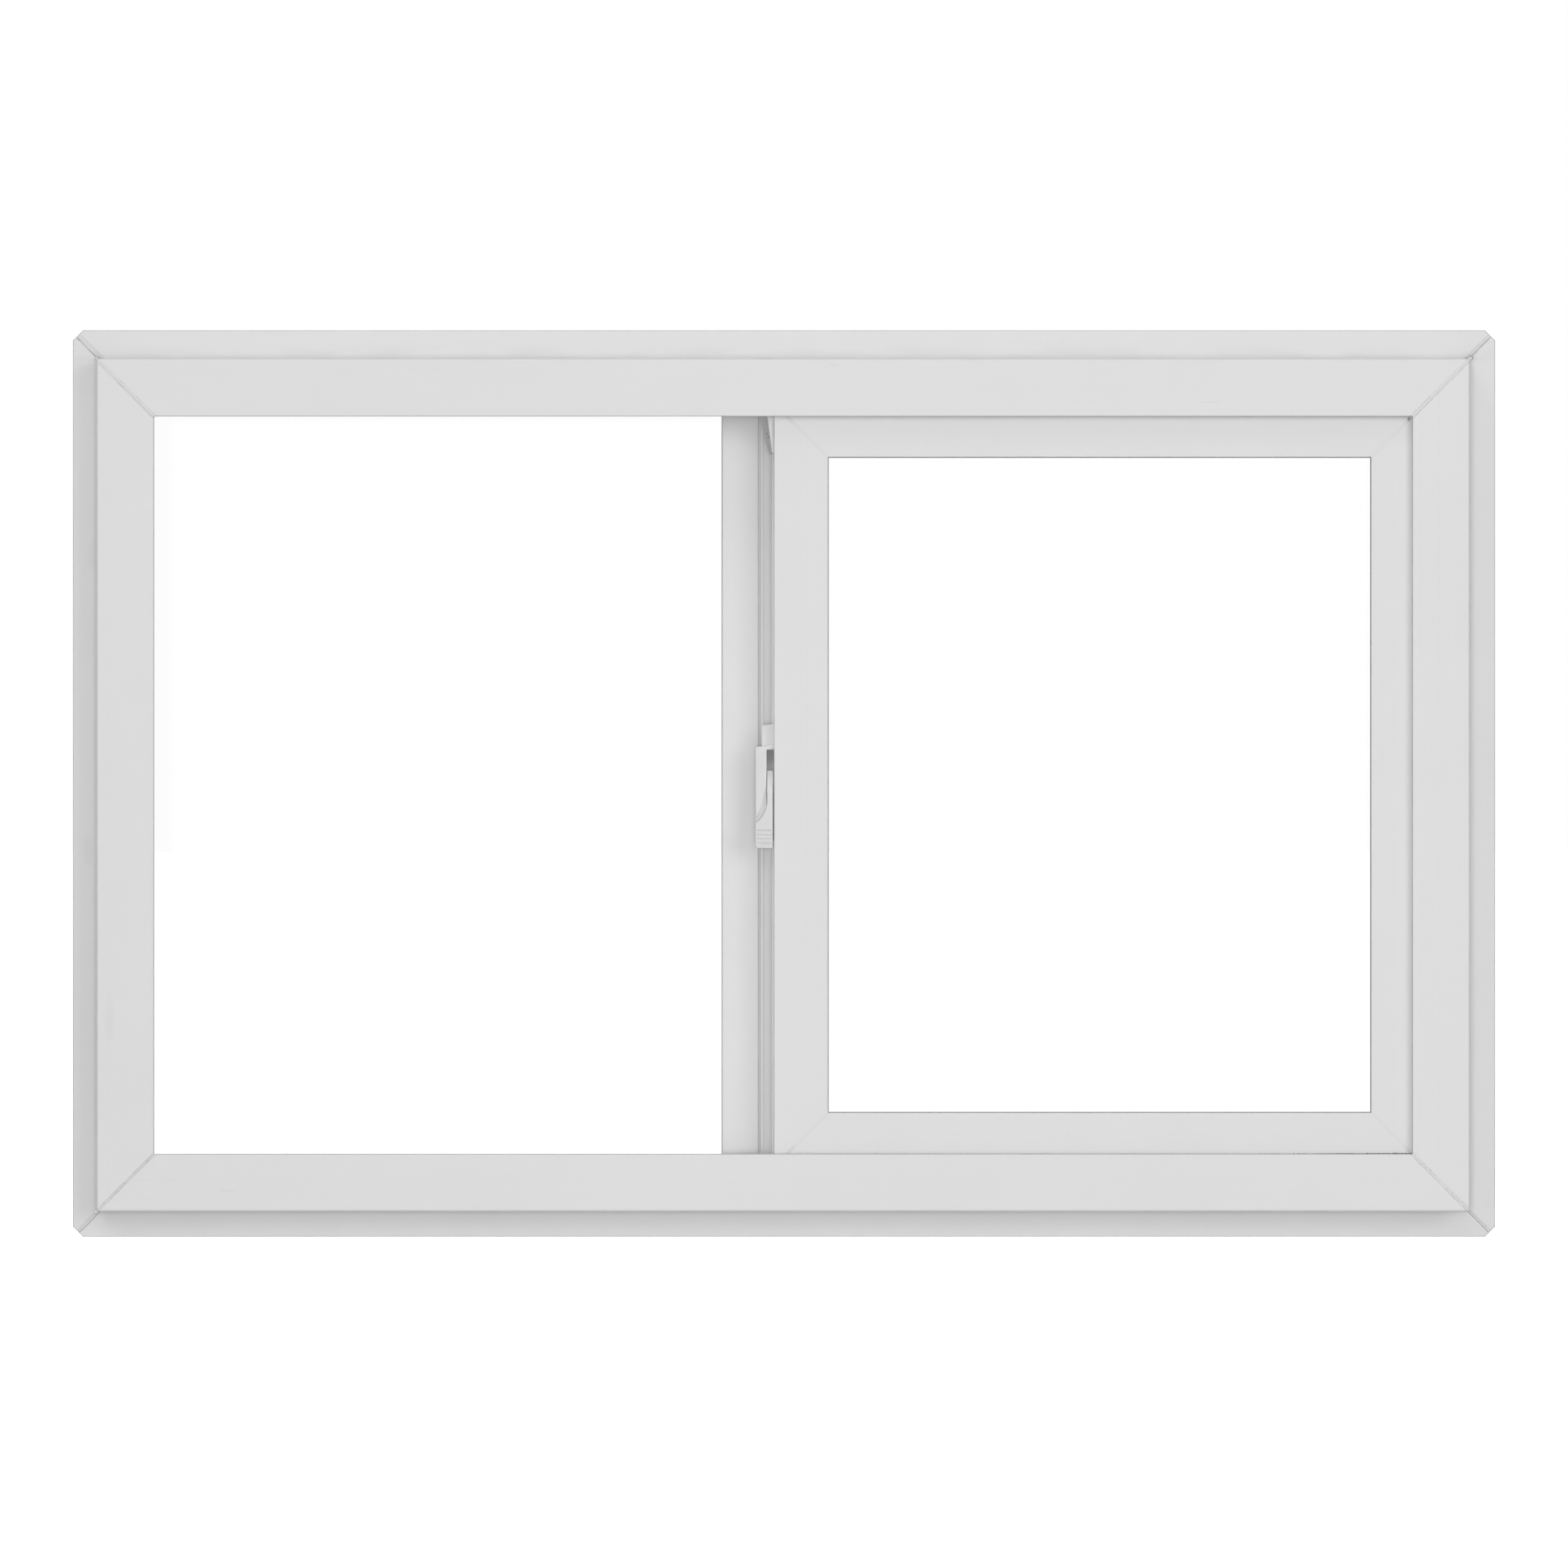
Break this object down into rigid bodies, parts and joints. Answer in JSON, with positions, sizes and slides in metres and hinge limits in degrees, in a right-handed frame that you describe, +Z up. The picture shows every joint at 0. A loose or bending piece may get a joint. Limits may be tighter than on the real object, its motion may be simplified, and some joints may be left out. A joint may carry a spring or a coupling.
{
  "type": "horizontal sliding window",
  "caption": "White vinyl horizontal sliding window with a nailing flange, a fixed light and a sash that slides on rollers.",
  "frame": {"origin": "on the wall side of the lower nailing flange, halfway along it and across its width", "axes": "+X to the right and +Z up as seen from the room, +Y outdoors"},
  "size_m": [1.2604, 0.0825, 0.8033],
  "materials": {
    "white_vinyl": "satin extruded",
    "latch_plastic": "satin moulded",
    "clear_glass": "clear",
    "glazing_seal": "matt",
    "spacer_metal": "mill",
    "pile_fabric": "woven pile",
    "roller_nylon": "moulded"
  },
  "bodies": {
    "frame": {"frame_head": "white_vinyl", "frame_sill": "white_vinyl", "frame_left_jamb": "white_vinyl", "frame_right_jamb": "white_vinyl", "fixed_meeting_stile": "white_vinyl", "fixed_glazing_seal": "glazing_seal", "fixed_inside_pane": "clear_glass", "fixed_outside_pane": "clear_glass", "fixed_spacer": "spacer_metal", "fixed_bead_head": "white_vinyl", "fixed_bead_sill": "white_vinyl", "fixed_bead_jamb": "white_vinyl", "fixed_bead_stile": "white_vinyl", "latch_keeper": "latch_plastic"},
    "sash": {"sash_top_rail": "white_vinyl", "sash_bottom_rail": "white_vinyl", "sash_meeting_stile": "white_vinyl", "sash_end_stile": "white_vinyl", "sash_glazing_seal": "glazing_seal", "sash_inside_pane": "clear_glass", "sash_outside_pane": "clear_glass", "sash_spacer": "spacer_metal", "sash_bead_top": "white_vinyl", "sash_bead_bottom": "white_vinyl", "sash_bead_meeting": "white_vinyl", "sash_bead_end": "white_vinyl", "sash_interlock": "white_vinyl", "sash_pile_top": "pile_fabric", "sash_pile_bottom": "pile_fabric", "sash_pile_end": "pile_fabric", "roller_housing_left": "roller_nylon", "roller_housing_right": "roller_nylon", "roller_wheel_left": "roller_nylon", "roller_wheel_right": "roller_nylon", "sash_wedge_block": "latch_plastic", "latch_housing": "latch_plastic"},
    "latch": {"latch_lever": "latch_plastic"}
  },
  "joints": [
    {"name": "sash_slide", "type": "slide", "parent": "frame", "child": "sash", "axis": [-1, 0, 0], "range_m": [0, 0.505]},
    {"name": "latch_slide", "type": "slide", "parent": "sash", "child": "latch", "axis": [0, 0, 1], "range_m": [0, 0.012]}
  ]
}
